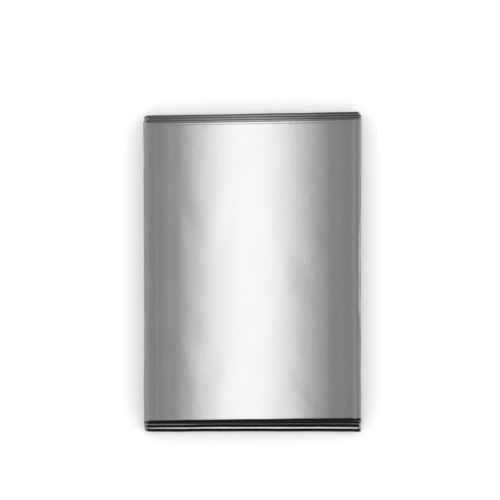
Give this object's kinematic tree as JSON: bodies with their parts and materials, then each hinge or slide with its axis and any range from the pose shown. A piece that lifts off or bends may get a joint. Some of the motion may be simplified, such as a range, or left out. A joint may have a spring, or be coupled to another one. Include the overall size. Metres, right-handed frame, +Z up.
{
  "type": "emergency foil blanket",
  "caption": "Thin silver foil blanket folded back and forth into a flat rectangular pack, its stacked bends showing past the front panel at both ends.",
  "frame": {"origin": "on the surface, under the middle of the folded pack", "axes": "+X across the pack to its right, +Y along its length towards the upper end, +Z up out of the front panel"},
  "size_m": [0.0882, 0.1307, 0.0131],
  "materials": {
    "foil": "bright metallised film, lightly crinkled"
  },
  "bodies": {
    "root": {"foil_blanket": "foil"}
  },
  "joints": []
}
